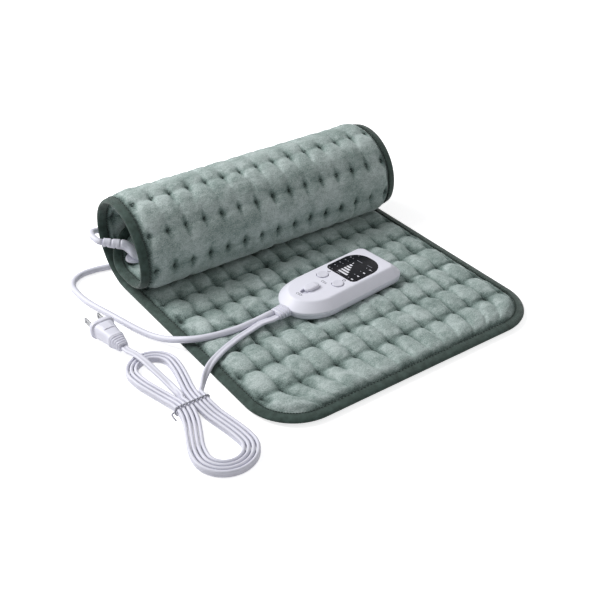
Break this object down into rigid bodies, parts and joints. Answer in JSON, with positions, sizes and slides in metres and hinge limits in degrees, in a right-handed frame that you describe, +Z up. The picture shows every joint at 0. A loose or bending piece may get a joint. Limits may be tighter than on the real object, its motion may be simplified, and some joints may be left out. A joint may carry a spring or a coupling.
{
  "type": "electric heating pad",
  "caption": "Quilted electric heating pad, part rolled up, with a corded hand controller, a tied hank of mains cord and a two-blade plug.",
  "frame": {"origin": "on the surface that it lies on, under the middle of the pad's box without its cords", "axes": "+X along the roll, from its cord end on the left to its right end; +Y from the flat front edge towards the roll; +Z up"},
  "size_m": [0.3672, 0.3464, 0.0955],
  "materials": {
    "plush": "short sage green plush with a silky nap",
    "binding_tape": "dark green woven tape",
    "carrier_sheet": "thin white nonwoven",
    "wire_jacket": "soft silicone",
    "cord_pvc": "satin white soft PVC",
    "case_plastic": "satin white",
    "dark_lens": "glossy dark tinted window",
    "circuit_laminate": "green solder mask",
    "black_plastic": "moulded black",
    "yellow_plastic": "moulded yellow",
    "steel": "bright zinc",
    "tie_plastic": "dark grey",
    "plug_pvc": "satin white moulded",
    "blade_metal": "nickel-plated brass"
  },
  "bodies": {
    "heating_pad": {"pad_top_cover": "plush", "pad_bottom_cover": "plush", "edge_binding": "binding_tape", "wire_carrier": "carrier_sheet", "heating_wire": "wire_jacket", "pad_gland": "cord_pvc", "pad_cord": "cord_pvc", "controller_top_shell": "case_plastic", "controller_bottom_shell": "case_plastic", "controller_boot": "cord_pvc", "display_window": "dark_lens", "display_board": "circuit_laminate", "display_header": "black_plastic", "circuit_board": "circuit_laminate", "heat_tact_switch": "black_plastic", "timer_tact_switch": "black_plastic", "slide_switch_body": "black_plastic", "triac": "black_plastic", "fuse": "steel", "capacitor": "yellow_plastic", "case_screw_1": "steel", "case_screw_2": "steel", "case_screw_3": "steel", "case_screw_4": "steel", "power_cord_lead": "cord_pvc", "power_cord_hank": "cord_pvc", "plug_lead": "cord_pvc", "cord_tie": "tie_plastic", "plug_body": "plug_pvc", "plug_blade_left": "blade_metal", "plug_blade_right": "blade_metal"},
    "heat_button": {"heat_button": "case_plastic"},
    "timer_button": {"timer_button": "case_plastic"},
    "power_slider": {"power_slider": "case_plastic", "slide_switch_lever": "steel"}
  },
  "joints": [
    {"name": "heat_button_press", "type": "slide", "parent": "heating_pad", "child": "heat_button", "axis": [0, 0, -1], "range_m": [0, 0.0006], "stiffness_N_per_m": 1500},
    {"name": "timer_button_press", "type": "slide", "parent": "heating_pad", "child": "timer_button", "axis": [0, 0, -1], "range_m": [0, 0.0006], "stiffness_N_per_m": 1500},
    {"name": "power_switch_slide", "type": "slide", "parent": "heating_pad", "child": "power_slider", "axis": [-0.9945, -0.1045, 0], "range_m": [0, 0.0045]}
  ]
}
